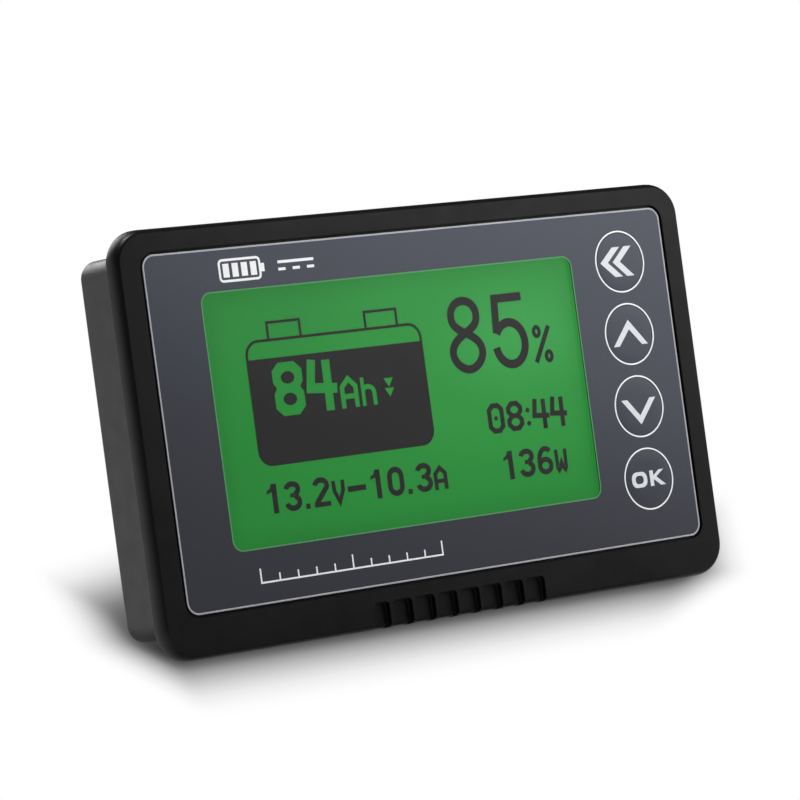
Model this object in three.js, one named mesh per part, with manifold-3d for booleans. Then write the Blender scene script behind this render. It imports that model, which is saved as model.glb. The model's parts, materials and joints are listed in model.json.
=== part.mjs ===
// Flush-mount display head of a battery monitor: a bezel with a recessed faceplate, a backlit segment
// LCD, four sprung keys over tact switches, one circuit board and a screwed rear housing.
// Millimetres, +Z up. The face looks along -Y. The origin is under the middle of the bounding box.
import * as THREE from "three";
import { mergeVertices } from "three/addons/utils/BufferGeometryUtils.js";
import Module from "manifold-3d";

const wasm = await Module();
wasm.setup();

// Driving dimensions. Depths called front and back lie behind the front of the bezel. SCRAP is how far
// a cutter runs past the material, and SOLDER is the gap under a piece that is soldered or screwed down.
const BEZEL = { width: 98.34, height: 58.6, depth: 2.6, corner: 4.8, edge: 0.75 };
const TOTAL_DEPTH = 14.8;
const PLATE = { x: 0.17, width: 90.4, height: 49.1, bottom: 5.95, corner: 1.9, front: 0.15, back: 0.55 };
const RECESS_GAP = 0.2;
const FLOOR = { front: 0.6, back: 2.4, root: 0.4 };
const WINDOW = { width: 64.3, height: 35.6, x: -4.33, z: 31.35, corner: 1.65 };
const LENS_GAP = 0.1;
const KEY = { x: 36.87, z: 31.39, pitch: 10.73, cap: 4.28, hole: 4.34, collar: 4.7 };
const KEY_DEPTH = { front: 0.15, collar: 2.5, back: 3.1 };
const KEY_NAMES = ["ok", "down", "up", "back"];
const POCKET = { count: 8, pitch: 3.92, width: 3.4, height: 3.8, depth: 0.95, corner: 0.6, x: -0.23 };
const POCKET_ROW_START = -14.85;
const BODY = { inset: 2.85, wall: 1.6, corner: 2.6, edge: 0.8, gap: 0.15 };
const LIP = { gap: 0.3, thickness: 1.0, corner: 1.2, back: 4.6 };
const GLASS = { margin: 1.6, gap: 0.3, front: 0.65, back: 2.85 };
const BACKLIGHT = { front: 2.95, back: 5.2, lampSpace: 2.4, stripGap: 1 };
const LAMP = { count: 3, pitch: 11, width: 1.6, height: 3.2, front: 3.2 };
const LCD_FRAME = { gap: 0.15, wall: 0.9, front: 2.95, back: 5.95 };
const BOARD = { width: 80, bottom: 6.4, top: 51.9, front: 6.0, back: 7.2, hole: 1.1 };
const STRIP = { width: 60, height: 1.8, rise: 0.3 };
const SWITCH = { side: 6.2, front: 3.7, well: 1.75, wellBack: 4.8 };
const PLUNGER = { radius: 1.6, front: 3.2, back: 4.4 };
const BOSS = { x: 42, low: 6.95, high: 51.65, radius: 1.8, back: 7.2, pilot: 1.0, pilotFront: 3.4 };
const COLUMN = { radius: 2.4, front: 7.3, hole: 1.15, sink: 2.1, sinkDepth: 1.5, rootDepth: 0.5 };
const STANDOFF = { x: 36, z: 8.6, radius: 1.5, pilot: 0.85, pilotFront: 3.0 };
const HOOK = {
  x: 20,
  halfWidth: 2,
  foot: 52.2,
  head: 52.9,
  nose: 51.4,
  noseFront: 7.35,
  back: 8.0,
  overlap: 0.2,
};
const SOCKET = { x: 0, z: 20, width: 12.4, height: 6.1, wall: 0.8, base: 1.0, back: 14.6, gap: 0.25 };
const PIN = { count: 4, pitch: 2.5, side: 0.64, front: 5.5, back: 10.4, gap: 0.1 };
const LABEL = {
  x: 0,
  z: 38,
  width: 52,
  height: 22,
  corner: 1.5,
  thickness: 0.15,
  recess: 0.3,
  gap: 0.3,
  glue: 0.02,
};
const VENT = { count: 5, x: -28, z: 15, pitch: 2.4, length: 9, width: 1.1, corner: 0.54 };
const LEAD = { width: 0.36, reach: 0.9, thickness: 0.2, foot: 0.2, rise: 0.1, margin: 0.5 };
const CHIPS = [
  { name: "microcontroller", x: -10, z: 30, width: 7, height: 7, thickness: 1.4, leads: 6, fourSided: true },
  { name: "bus_transceiver", x: -12, z: 19, width: 5, height: 4, thickness: 1.5, leads: 4 },
  { name: "memory_chip", x: 4, z: 31, width: 5, height: 4, thickness: 1.5, leads: 4 },
  { name: "voltage_regulator", x: 17, z: 33, width: 5, height: 4, thickness: 1.5, leads: 4 },
];
const CAPACITOR = { base: 6.6, baseRise: 1, radius: 3.15, height: 5.2, edge: 0.3, seat: 0.5 };
const CAPACITORS = [["capacitor_in", 14, 22], ["capacitor_out", 27, 22]];
const BUZZER = { x: -28, z: 15, radius: 4.75, height: 4.5, edge: 0.3, port: 1.0, portDepth: 1.1 };
const INDUCTOR = { x: 17, z: 43, side: 7, corner: 1.2, height: 4 };
const CRYSTAL = { x: -10, z: 40, width: 11.2, height: 4.6, corner: 2.2, rise: 3.4, edge: 0.4 };
const CASE_SCREW = { head: 1.9, shank: 0.8, tip: 4.2 };
const BOARD_SCREW = { head: 1.7, shank: 0.65, tip: 3.4 };
const SCREW = { point: 0.8, flat: 0.8, crown: 1.3, slot: 0.45, slotDepth: 0.7 };
const SOCKET_SLOT = { width: 1.2, front: 3 };
const SOLDER = 0.05;
const SCRAP = 1;

const FACE_Y = -TOTAL_DEPTH / 2;
const REAR = TOTAL_DEPTH;
const FLOOR_ROOT = FLOOR.back - FLOOR.root;
const COMPONENT = BOARD.back + SOLDER;
const CIRCLE_STEPS = 24;
const FINE_STEPS = 36;
const BORE_STEPS = 16;

// ---- Solids ---------------------------------------------------------------------------------------

// A closed three.js geometry as a manifold solid.
function solid(geometry) {
  geometry.deleteAttribute("normal");
  geometry.deleteAttribute("uv");
  const merged = mergeVertices(geometry, 1e-4);
  const vertProperties = merged.attributes.position.array;
  const triVerts = new Uint32Array(merged.index.array);
  return new wasm.Manifold(new wasm.Mesh({ numProp: 3, vertProperties, triVerts }));
}

// A manifold solid as a three.js geometry.
function geometryOf(shape) {
  const mesh = shape.getMesh();
  const positions = new Float32Array(mesh.numVert * 3);
  for (let i = 0; i < mesh.numVert; i++) {
    const start = i * mesh.numProp;
    positions.set(mesh.vertProperties.subarray(start, start + 3), i * 3);
  }
  const geometry = new THREE.BufferGeometry();
  geometry.setAttribute("position", new THREE.BufferAttribute(positions, 3));
  geometry.setIndex(new THREE.BufferAttribute(mesh.triVerts, 1));
  geometry.computeVertexNormals();
  return geometry;
}

const join = (first, ...rest) => rest.reduce((sum, next) => sum.add(next), first);
const cut = (first, ...rest) => rest.reduce((left, next) => left.subtract(next), first);

// Turns an extrusion along +Z into one along +Y whose front is at the given depth behind the face.
function stand(geometry, front, back) {
  geometry.rotateX(Math.PI / 2);
  geometry.translate(0, FACE_Y + back, 0);
  return solid(geometry);
}

// An outline in x and z, extruded from one depth behind the face to another.
function slab(shape, front, back, curveSegments = 6) {
  const options = { depth: back - front, bevelEnabled: false, curveSegments };
  return stand(new THREE.ExtrudeGeometry(shape, options), front, back);
}

// The same with every front and back edge rounded.
function roundedSlab(shape, front, back, edge, steps) {
  const geometry = new THREE.ExtrudeGeometry(shape, {
    depth: back - front - 2 * edge,
    bevelThickness: edge,
    bevelSize: edge,
    bevelOffset: -edge,
    bevelSegments: steps,
    curveSegments: 6,
  });
  return stand(geometry, front, back - edge);
}

function roundedRect(x, z, width, height, radius) {
  const shape = new THREE.Shape();
  const right = x + width / 2 - radius;
  const left = x - width / 2 + radius;
  const top = z + height / 2 - radius;
  const bottom = z - height / 2 + radius;
  shape.absarc(right, bottom, radius, -Math.PI / 2, 0, false);
  shape.absarc(right, top, radius, 0, Math.PI / 2, false);
  shape.absarc(left, top, radius, Math.PI / 2, Math.PI, false);
  shape.absarc(left, bottom, radius, Math.PI, Math.PI * 1.5, false);
  return shape;
}

// A box from its limits in x and z and its depths behind the face.
function block(x0, x1, z0, z1, front, back) {
  const geometry = new THREE.BoxGeometry(x1 - x0, back - front, z1 - z0);
  geometry.translate((x0 + x1) / 2, FACE_Y + (front + back) / 2, (z0 + z1) / 2);
  return solid(geometry);
}

const centredBlock = (x, z, width, height, front, back) =>
  block(x - width / 2, x + width / 2, z - height / 2, z + height / 2, front, back);

// A round post along Y.
function post(x, z, radius, front, back, steps = CIRCLE_STEPS) {
  const geometry = new THREE.CylinderGeometry(radius, radius, back - front, steps);
  geometry.translate(x, FACE_Y + (front + back) / 2, z);
  return solid(geometry);
}

// A turned piece along Y from [radius, depth] pairs that start and end on its axis.
function turned(x, z, profile, steps = CIRCLE_STEPS) {
  const points = profile.map(([radius, depth]) => new THREE.Vector2(radius, depth));
  const geometry = new THREE.LatheGeometry(points, steps);
  geometry.translate(x, FACE_Y, z);
  return solid(geometry);
}

// ---- Materials ------------------------------------------------------------------------------------

const material = (color, roughness, metalness = 0) =>
  new THREE.MeshStandardMaterial({ color, roughness, metalness });

const MATERIALS = {
  satinBlack: material(0x1c1c1d, 0.45),
  housingGrey: material(0x3a3b3c, 0.55),
  slate: material(0x46474f, 0.5),
  clear: new THREE.MeshStandardMaterial({
    color: 0xdfe9e2,
    roughness: 0.08,
    transparent: true,
    opacity: 0.35,
  }),
  lcd: material(0x32904a, 0.35),
  diffuser: material(0xd8f0dc, 0.4),
  whitePlastic: material(0xe6e6e2, 0.5),
  rubber: material(0x25282c, 0.8),
  board: material(0x1f5a3a, 0.5),
  chip: material(0x18191b, 0.6),
  steel: material(0xb4b6b8, 0.3, 1),
  brass: material(0xc9a14a, 0.3, 1),
  ivory: material(0xe8dfc6, 0.5),
  label: material(0x8c8e90, 0.4),
};

function piece(name, shape, look) {
  const mesh = new THREE.Mesh(geometryOf(shape), MATERIALS[look]);
  mesh.name = name;
  return mesh;
}

// ---- Front ----------------------------------------------------------------------------------------

const KEY_Z = KEY_NAMES.map((name, i) => KEY.z + (i - (KEY_NAMES.length - 1) / 2) * KEY.pitch);
const BEZEL_MID_Z = BEZEL.height / 2;
const PLATE_MID_Z = PLATE.bottom + PLATE.height / 2;
const BODY_SIZE = {
  width: BEZEL.width - 2 * BODY.inset,
  height: BEZEL.height - 2 * BODY.inset,
};
const GLASS_SIZE = {
  width: WINDOW.width + 2 * GLASS.margin,
  height: WINDOW.height + 2 * GLASS.margin,
};
const BOSS_PLACES = [BOSS.low, BOSS.high].flatMap((z) => [[-BOSS.x, z], [BOSS.x, z]]);
const STANDOFF_PLACES = [[-STANDOFF.x, STANDOFF.z], [STANDOFF.x, STANDOFF.z]];

// The grip pockets along the lower front edge, open at the bottom.
function pockets() {
  const cuts = [];
  for (let i = 0; i < POCKET.count; i++) {
    const middle = POCKET.x + (i - (POCKET.count - 1) / 2) * POCKET.pitch;
    const left = Math.max(middle - POCKET.width / 2, POCKET_ROW_START);
    const right = middle + POCKET.width / 2;
    const height = POCKET.height + 2 * SCRAP;
    const z = POCKET.height - height / 2;
    const outline = roundedRect((left + right) / 2, z, right - left, height, POCKET.corner);
    cuts.push(slab(outline, -SCRAP, POCKET.depth, 3));
  }
  return cuts;
}

// The lip that locates the bezel inside the rear housing.
function locatingLip() {
  const inset = BODY.inset + BODY.wall + LIP.gap;
  const width = BEZEL.width - 2 * inset;
  const height = BEZEL.height - 2 * inset;
  const bore = 2 * LIP.thickness;
  const outer = roundedRect(0, BEZEL_MID_Z, width, height, LIP.corner);
  const inner = roundedRect(0, BEZEL_MID_Z, width - bore, height - bore, LIP.corner / 2);
  return cut(slab(outer, FLOOR_ROOT, LIP.back, 3), slab(inner, FLOOR_ROOT - SCRAP, LIP.back + SCRAP, 3));
}

// Two hooks that hold the top edge of the board.
function boardHooks() {
  return [-HOOK.x, HOOK.x].flatMap((x) => {
    const x0 = x - HOOK.halfWidth;
    const x1 = x + HOOK.halfWidth;
    const stem = block(x0, x1, HOOK.foot, HOOK.head, FLOOR_ROOT, HOOK.back);
    const nose = block(x0, x1, HOOK.nose, HOOK.foot + HOOK.overlap, HOOK.noseFront, HOOK.back);
    return [stem, nose];
  });
}

function frontBezel() {
  const outline = roundedRect(0, BEZEL_MID_Z, BEZEL.width, BEZEL.height, BEZEL.corner);
  const rounded = roundedSlab(outline, 0, BEZEL.depth + BEZEL.edge, BEZEL.edge, 3);
  const sliceWidth = BEZEL.width + 2 * SCRAP;
  const slice = centredBlock(0, BEZEL_MID_Z, sliceWidth, BEZEL.height + 2 * SCRAP, -SCRAP, BEZEL.depth);
  const recess = roundedRect(
    PLATE.x,
    PLATE_MID_Z,
    PLATE.width + 2 * RECESS_GAP,
    PLATE.height + 2 * RECESS_GAP,
    PLATE.corner + RECESS_GAP,
  );
  const seat = roundedRect(
    0,
    BEZEL_MID_Z,
    BODY_SIZE.width + 2 * BODY.gap,
    BODY_SIZE.height + 2 * BODY.gap,
    BODY.corner + BODY.gap,
  );
  const openingWidth = GLASS_SIZE.width + 2 * GLASS.gap;
  const openingHeight = GLASS_SIZE.height + 2 * GLASS.gap;
  const through = BEZEL.depth + SCRAP;
  const opening = centredBlock(WINDOW.x, WINDOW.z, openingWidth, openingHeight, 0, through);
  const keyHoles = KEY_Z.map((z) => post(KEY.x, z, KEY.hole, 0, through, FINE_STEPS));
  const plate = cut(
    rounded.intersect(slice),
    slab(recess, -SCRAP, FLOOR.front, 6),
    slab(seat, FLOOR.back, through, 4),
    opening,
    ...keyHoles,
    ...pockets(),
  );
  const bosses = BOSS_PLACES.map(([x, z]) => post(x, z, BOSS.radius, FLOOR_ROOT, BOSS.back));
  const standoffs = STANDOFF_PLACES.map(([x, z]) =>
    post(x, z, STANDOFF.radius, FLOOR_ROOT, BOARD.front - SOLDER),
  );
  const pilots = BOSS_PLACES.map(([x, z]) =>
    post(x, z, BOSS.pilot, BOSS.pilotFront, BOSS.back + SCRAP, BORE_STEPS),
  );
  const boardPilots = STANDOFF_PLACES.map(([x, z]) =>
    post(x, z, STANDOFF.pilot, STANDOFF.pilotFront, BOARD.front + SCRAP, BORE_STEPS),
  );
  const moulding = join(plate, locatingLip(), ...bosses, ...standoffs, ...boardHooks());
  return piece("front_bezel", cut(moulding, ...pilots, ...boardPilots), "satinBlack");
}

function faceplate() {
  const outline = roundedRect(PLATE.x, PLATE_MID_Z, PLATE.width, PLATE.height, PLATE.corner);
  const window = roundedRect(WINDOW.x, WINDOW.z, WINDOW.width, WINDOW.height, WINDOW.corner);
  const behind = PLATE.back + SCRAP;
  const keyHoles = KEY_Z.map((z) => post(KEY.x, z, KEY.hole, -SCRAP, behind, FINE_STEPS));
  const sheet = slab(outline, PLATE.front, PLATE.back);
  return piece("faceplate", cut(sheet, slab(window, -SCRAP, behind), ...keyHoles), "slate");
}

function windowLens() {
  const width = WINDOW.width - 2 * LENS_GAP;
  const height = WINDOW.height - 2 * LENS_GAP;
  const outline = roundedRect(WINDOW.x, WINDOW.z, width, height, WINDOW.corner - LENS_GAP);
  return piece("window_lens", slab(outline, PLATE.front, PLATE.back), "clear");
}

// A key cap: a disc flush with the faceplate and a collar that keeps it behind the bezel's floor.
function keyCap(name, z) {
  const cap = turned(KEY.x, z, [
    [0, KEY_DEPTH.front],
    [KEY.cap, KEY_DEPTH.front],
    [KEY.cap, KEY_DEPTH.collar],
    [KEY.collar, KEY_DEPTH.collar],
    [KEY.collar, KEY_DEPTH.back],
    [0, KEY_DEPTH.back],
  ], FINE_STEPS);
  return piece("key_" + name, cap, "slate");
}

// ---- Display --------------------------------------------------------------------------------------

function lcdGlass() {
  const { width, height } = GLASS_SIZE;
  return piece("lcd_glass", centredBlock(WINDOW.x, WINDOW.z, width, height, GLASS.front, GLASS.back), "lcd");
}

// The light guide leaves room for the lamps at its left edge and the contact strip below it.
function backlightGuide() {
  const width = GLASS_SIZE.width - BACKLIGHT.lampSpace;
  const stripSpace = STRIP.height + BACKLIGHT.stripGap;
  const height = GLASS_SIZE.height - stripSpace;
  const x = WINDOW.x + BACKLIGHT.lampSpace / 2;
  const z = WINDOW.z + stripSpace / 2;
  const guide = centredBlock(x, z, width, height, BACKLIGHT.front, BACKLIGHT.back);
  return piece("backlight_guide", guide, "diffuser");
}

function backlightLamp(index) {
  const x = WINDOW.x - GLASS_SIZE.width / 2 + BACKLIGHT.lampSpace / 2;
  const z = WINDOW.z + (index - (LAMP.count - 1) / 2) * LAMP.pitch;
  const lamp = centredBlock(x, z, LAMP.width, LAMP.height, LAMP.front, BOARD.front - SOLDER);
  return piece("backlight_lamp_" + (index + 1), lamp, "whitePlastic");
}

// The elastomer strip that joins the glass to the board, under the light guide.
function contactStrip() {
  const z = WINDOW.z - GLASS_SIZE.height / 2 + STRIP.height / 2 + STRIP.rise;
  const strip = centredBlock(WINDOW.x, z, STRIP.width, STRIP.height, LCD_FRAME.front, LCD_FRAME.back);
  return piece("lcd_contact_strip", strip, "rubber");
}

function lcdFrame() {
  const boreWidth = GLASS_SIZE.width + 2 * LCD_FRAME.gap;
  const boreHeight = GLASS_SIZE.height + 2 * LCD_FRAME.gap;
  const width = boreWidth + 2 * LCD_FRAME.wall;
  const height = boreHeight + 2 * LCD_FRAME.wall;
  const outer = centredBlock(WINDOW.x, WINDOW.z, width, height, LCD_FRAME.front, LCD_FRAME.back);
  const bore = centredBlock(WINDOW.x, WINDOW.z, boreWidth, boreHeight, 0, REAR);
  return piece("lcd_frame", cut(outer, bore), "whitePlastic");
}

// ---- Board and what is on it ----------------------------------------------------------------------

const PIN_X = Array.from({ length: PIN.count }, (_, i) => SOCKET.x + (i - (PIN.count - 1) / 2) * PIN.pitch);

function pinHoles(front, back) {
  return PIN_X.map((x) => {
    const side = PIN.side + 2 * PIN.gap;
    return centredBlock(x, SOCKET.z, side, side, front, back);
  });
}

function mainBoard() {
  const half = BOARD.width / 2;
  const blank = block(-half, half, BOARD.bottom, BOARD.top, BOARD.front, BOARD.back);
  const screwHoles = STANDOFF_PLACES.map(([x, z]) =>
    post(x, z, BOARD.hole, BOARD.front - SCRAP, BOARD.back + SCRAP, BORE_STEPS),
  );
  const holes = pinHoles(BOARD.front - SCRAP, BOARD.back + SCRAP);
  return piece("main_board", cut(blank, ...screwHoles, ...holes), "board");
}

function switchBody(name, z) {
  const half = SWITCH.side / 2;
  const body = block(KEY.x - half, KEY.x + half, z - half, z + half, SWITCH.front, BOARD.front - SOLDER);
  const well = post(KEY.x, z, SWITCH.well, SWITCH.front - SCRAP, SWITCH.wellBack, BORE_STEPS);
  return piece("switch_body_" + name, cut(body, well), "chip");
}

function switchPlunger(name, z) {
  const plunger = post(KEY.x, z, PLUNGER.radius, PLUNGER.front, PLUNGER.back, BORE_STEPS);
  return piece("switch_plunger_" + name, plunger, "ivory");
}

// One bent lead from its shoulder in the moulding to its foot on the board. The direction is a unit
// step in x or z away from the chip.
function lead(x, z, [stepX, stepZ], shoulderDepth) {
  const half = LEAD.width / 2;
  const reachX = stepX * LEAD.reach;
  const reachZ = stepZ * LEAD.reach;
  const sideX = stepX === 0 ? half : 0;
  const sideZ = stepZ === 0 ? half : 0;
  const span = (from, to, side) => [Math.min(from, to) - side, Math.max(from, to) + side];
  const footX = x + stepX * (LEAD.reach - LEAD.foot);
  const footZ = z + stepZ * (LEAD.reach - LEAD.foot);
  const across = [...span(x, x + reachX, sideX), ...span(z, z + reachZ, sideZ)];
  const down = [...span(footX, x + reachX, sideX), ...span(footZ, z + reachZ, sideZ)];
  const shoulderBack = shoulderDepth + LEAD.thickness;
  return join(block(...across, shoulderDepth, shoulderBack), block(...down, COMPONENT, shoulderBack));
}

// A moulded chip with a row of bent leads along two or all four of its sides.
function chip({ name, x, z, width, height, thickness, leads, fourSided }) {
  const front = COMPONENT + LEAD.rise;
  const shoulder = front + (thickness - LEAD.thickness) / 2;
  const parts = [centredBlock(x, z, width, height, front, front + thickness)];
  const root = LEAD.foot;
  for (let i = 0; i < leads; i++) {
    const share = i / (leads - 1) - 0.5;
    const alongX = share * (width - 2 * LEAD.margin);
    const alongZ = share * (height - 2 * LEAD.margin);
    for (const side of [-1, 1]) {
      parts.push(lead(x + alongX, z + side * (height / 2 - root), [0, side], shoulder));
      if (fourSided) parts.push(lead(x + side * (width / 2 - root), z + alongZ, [side, 0], shoulder));
    }
  }
  return piece(name, join(...parts), "chip");
}

function capacitor([name, x, z]) {
  const { base, baseRise, radius, height, edge, seat } = CAPACITOR;
  const foot = centredBlock(x, z, base, base, COMPONENT, COMPONENT + baseRise);
  const can = turned(x, z, [
    [0, COMPONENT + seat],
    [radius, COMPONENT + seat],
    [radius, COMPONENT + height - edge],
    [radius - edge, COMPONENT + height],
    [0, COMPONENT + height],
  ]);
  return piece(name, join(foot, can), "steel");
}

function buzzer() {
  const { x, z, radius, height, edge, port, portDepth } = BUZZER;
  const can = turned(x, z, [
    [0, COMPONENT],
    [radius, COMPONENT],
    [radius, COMPONENT + height - edge],
    [radius - edge, COMPONENT + height],
    [port, COMPONENT + height],
    [port, COMPONENT + height - portDepth],
    [0, COMPONENT + height - portDepth],
  ]);
  return piece("alarm_buzzer", can, "chip");
}

function inductor() {
  const { x, z, side, corner, height } = INDUCTOR;
  const core = roundedRect(x, z, side, side, corner);
  return piece("power_inductor", slab(core, COMPONENT, COMPONENT + height, 3), "rubber");
}

function crystal() {
  const { x, z, width, height, corner, rise, edge } = CRYSTAL;
  const can = roundedRect(x, z, width, height, corner);
  return piece("crystal", roundedSlab(can, COMPONENT, COMPONENT + rise, edge, 2), "steel");
}

// The shrouded four-pin socket that takes the sensor cable's plug, sunk in the rear wall.
function socketShroud() {
  const { x, z, width, height, wall, base, back } = SOCKET;
  const outer = centredBlock(x, z, width, height, COMPONENT, back);
  const open = REAR + SCRAP;
  const bore = centredBlock(x, z, width - 2 * wall, height - 2 * wall, COMPONENT + base, open);
  const slotFront = COMPONENT + SOCKET_SLOT.front;
  const slots = [-1, 1].map((side) => {
    const slotX = x + side * PIN.pitch;
    return centredBlock(slotX, z - height / 2, SOCKET_SLOT.width, 2 * wall + SOLDER, slotFront, open);
  });
  return piece("cable_socket", cut(outer, bore, ...slots, ...pinHoles(0, REAR)), "ivory");
}

function socketPin(index) {
  const pin = centredBlock(PIN_X[index], SOCKET.z, PIN.side, PIN.side, PIN.front, PIN.back);
  return piece("socket_pin_" + (index + 1), pin, "brass");
}

// ---- Rear -----------------------------------------------------------------------------------------

function rearHousing() {
  const { width, height } = BODY_SIZE;
  const front = FLOOR.back + SOLDER;
  const outline = roundedRect(0, BEZEL_MID_Z, width, height, BODY.corner);
  const inside = roundedRect(
    0,
    BEZEL_MID_Z,
    width - 2 * BODY.wall,
    height - 2 * BODY.wall,
    BODY.corner - BODY.wall,
  );
  const rounded = roundedSlab(outline, front - BODY.edge, REAR, BODY.edge, 3);
  const open = REAR + SCRAP;
  const slice = centredBlock(0, BEZEL_MID_Z, width + 2 * SCRAP, height + 2 * SCRAP, front, open);
  const shell = cut(rounded.intersect(slice), slab(inside, 0, REAR - BODY.wall, 4));
  const columnBack = REAR - COLUMN.rootDepth;
  const columns = BOSS_PLACES.map(([x, z]) => post(x, z, COLUMN.radius, COLUMN.front, columnBack));
  const keepIn = slab(outline, 0, columnBack, 6);
  const bores = BOSS_PLACES.map(([x, z]) => post(x, z, COLUMN.hole, 0, open, BORE_STEPS));
  const sinks = BOSS_PLACES.map(([x, z]) => post(x, z, COLUMN.sink, REAR - COLUMN.sinkDepth, open));
  const socketHole = centredBlock(
    SOCKET.x,
    SOCKET.z,
    SOCKET.width + 2 * SOCKET.gap,
    SOCKET.height + 2 * SOCKET.gap,
    REAR - BODY.wall - SCRAP,
    open,
  );
  const recess = roundedRect(
    LABEL.x,
    LABEL.z,
    LABEL.width + 2 * LABEL.gap,
    LABEL.height + 2 * LABEL.gap,
    LABEL.corner + LABEL.gap,
  );
  const labelRecess = slab(recess, REAR - LABEL.recess, open, 3);
  const tub = join(shell, ...columns.map((column) => column.intersect(keepIn)));
  const cuts = [...bores, ...sinks, ...ventSlots(), socketHole, labelRecess];
  return piece("rear_housing", cut(tub, ...cuts), "housingGrey");
}

// Slots behind the buzzer that let its sound out.
function ventSlots() {
  return Array.from({ length: VENT.count }, (_, i) => {
    const z = VENT.z + (i - (VENT.count - 1) / 2) * VENT.pitch;
    const outline = roundedRect(VENT.x, z, VENT.length, VENT.width, VENT.corner);
    return slab(outline, REAR - BODY.wall - SCRAP, REAR + SCRAP, 2);
  });
}

function ratingLabel() {
  const outline = roundedRect(LABEL.x, LABEL.z, LABEL.width, LABEL.height, LABEL.corner);
  const front = REAR - LABEL.recess + LABEL.glue;
  return piece("rating_label", slab(outline, front, front + LABEL.thickness, 3), "label");
}

// A cross-recess pan-head screw that points towards the face.
function screw(name, [x, z], { head, shank, tip }, seat) {
  const body = turned(x, z, [
    [0, tip],
    [shank * 0.4, tip],
    [shank, tip + SCREW.point],
    [shank, seat],
    [head, seat],
    [head, seat + SCREW.flat],
    [head * 0.6, seat + SCREW.crown],
    [0, seat + SCREW.crown],
  ], BORE_STEPS);
  const slotFront = seat + SCREW.crown - SCREW.slotDepth;
  const slotBack = seat + SCREW.crown + SCRAP;
  const recess = join(
    centredBlock(x, z, head, SCREW.slot, slotFront, slotBack),
    centredBlock(x, z, SCREW.slot, head, slotFront, slotBack),
  );
  return piece(name, cut(body, recess), "steel");
}

// ---- Assembly -------------------------------------------------------------------------------------

const root = new THREE.Group();
root.name = "battery_monitor_display";
root.add(frontBezel(), faceplate(), windowLens());
root.add(lcdGlass(), backlightGuide(), contactStrip(), lcdFrame());
for (let i = 0; i < LAMP.count; i++) root.add(backlightLamp(i));
root.add(mainBoard(), socketShroud(), rearHousing(), ratingLabel());
KEY_NAMES.forEach((name, i) => {
  const key = new THREE.Group();
  key.add(keyCap(name, KEY_Z[i]), switchPlunger(name, KEY_Z[i]));
  root.add(key, switchBody(name, KEY_Z[i]));
});
for (let i = 0; i < PIN.count; i++) root.add(socketPin(i));
CHIPS.forEach((spec) => root.add(chip(spec)));
CAPACITORS.forEach((spec) => root.add(capacitor(spec)));
root.add(inductor(), crystal(), buzzer());
const CASE_SEAT = REAR - COLUMN.sinkDepth + SOLDER;
BOSS_PLACES.forEach((place, i) => root.add(screw("case_screw_" + (i + 1), place, CASE_SCREW, CASE_SEAT)));
STANDOFF_PLACES.forEach((place, i) =>
  root.add(screw("board_screw_" + (i + 1), place, BOARD_SCREW, BOARD.back + SOLDER)),
);

export default root;
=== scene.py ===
"""The looks of a flush-mount battery monitor display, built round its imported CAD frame.

Lengths are millimetres until they become vertices. A place is (x, z, depth): x to the right and z up as the
face is looked at, and depth behind the front of the bezel. Flat work is drawn as outlines of (x, z) points.
"""

import json
import math
from collections import namedtuple
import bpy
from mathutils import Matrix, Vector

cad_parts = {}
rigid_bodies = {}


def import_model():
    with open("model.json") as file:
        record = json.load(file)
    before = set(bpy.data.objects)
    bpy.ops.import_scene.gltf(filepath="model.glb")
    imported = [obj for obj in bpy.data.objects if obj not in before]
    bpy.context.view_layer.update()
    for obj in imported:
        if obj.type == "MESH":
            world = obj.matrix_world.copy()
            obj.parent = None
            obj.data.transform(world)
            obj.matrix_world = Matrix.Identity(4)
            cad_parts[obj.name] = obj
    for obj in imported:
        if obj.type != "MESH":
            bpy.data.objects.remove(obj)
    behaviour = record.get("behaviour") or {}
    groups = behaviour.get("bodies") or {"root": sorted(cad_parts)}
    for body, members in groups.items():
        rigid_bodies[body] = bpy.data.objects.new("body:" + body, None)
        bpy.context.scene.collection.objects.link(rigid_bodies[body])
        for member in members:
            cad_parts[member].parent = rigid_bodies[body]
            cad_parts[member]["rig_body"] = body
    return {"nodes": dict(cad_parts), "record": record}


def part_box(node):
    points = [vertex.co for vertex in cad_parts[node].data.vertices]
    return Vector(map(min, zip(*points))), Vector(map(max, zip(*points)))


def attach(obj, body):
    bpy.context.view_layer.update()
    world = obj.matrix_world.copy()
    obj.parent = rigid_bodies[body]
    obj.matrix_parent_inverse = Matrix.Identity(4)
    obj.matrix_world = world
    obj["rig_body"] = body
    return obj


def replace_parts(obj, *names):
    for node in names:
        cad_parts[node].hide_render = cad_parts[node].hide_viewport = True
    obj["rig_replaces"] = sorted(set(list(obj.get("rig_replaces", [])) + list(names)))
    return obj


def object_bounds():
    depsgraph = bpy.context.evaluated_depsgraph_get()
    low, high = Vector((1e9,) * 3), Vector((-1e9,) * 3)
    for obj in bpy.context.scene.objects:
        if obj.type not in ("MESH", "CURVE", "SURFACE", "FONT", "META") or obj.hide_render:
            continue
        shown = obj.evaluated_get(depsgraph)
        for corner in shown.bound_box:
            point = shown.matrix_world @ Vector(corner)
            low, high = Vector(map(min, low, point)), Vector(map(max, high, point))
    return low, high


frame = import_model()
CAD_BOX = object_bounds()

from types import SimpleNamespace as Sizes

import bmesh
import bpy
from mathutils import Matrix, Vector
from mathutils.geometry import delaunay_2d_cdt

MM = 0.001
FACE_Y = CAD_BOX[0].y / MM

Area = namedtuple("Area", "x0 x1 z0 z1 front back")
Shape = namedtuple("Shape", "outer holes")


def area(node):
    """The box of a CAD node in millimetres, with depths behind the face."""
    low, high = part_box(node)
    x0, x1, z0, z1 = (side / MM for side in (low.x, high.x, low.z, high.z))
    return Area(x0, x1, z0, z1, low.y / MM - FACE_Y, high.y / MM - FACE_Y)


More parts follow.
